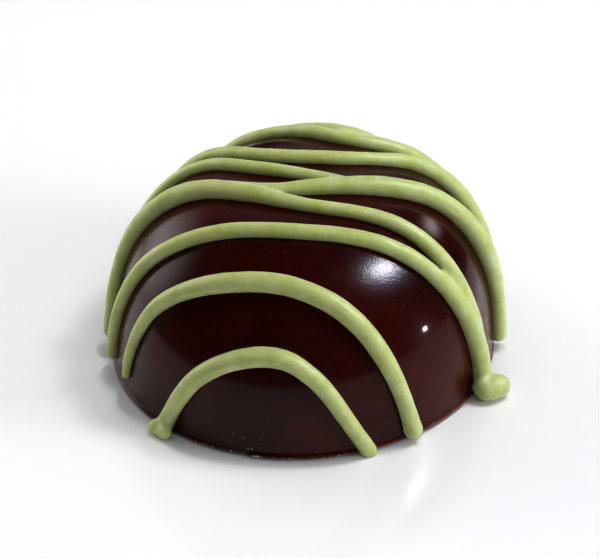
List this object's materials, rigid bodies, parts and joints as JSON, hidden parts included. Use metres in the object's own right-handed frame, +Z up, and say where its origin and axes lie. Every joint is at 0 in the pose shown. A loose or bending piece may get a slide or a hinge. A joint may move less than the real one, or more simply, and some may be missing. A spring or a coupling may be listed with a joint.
{
  "type": "chocolate praline",
  "caption": "Half-dome moulded chocolate with a flat base and threads of pale green icing piped across it; a single sweet for a box, plate or cake.",
  "frame": {"origin": "middle of the flat base, on the surface the praline stands on", "axes": "+Z up through the top of the dome; +X to the right and +Y to the back, seen from the side where the shortest thread stands as a low arch"},
  "size_m": [0.032, 0.0307, 0.0168],
  "materials": {
    "chocolate": "glossy moulded dark chocolate",
    "icing": "satin pistachio-green piped icing"
  },
  "bodies": {
    "root": {"praline": "chocolate"}
  },
  "joints": []
}
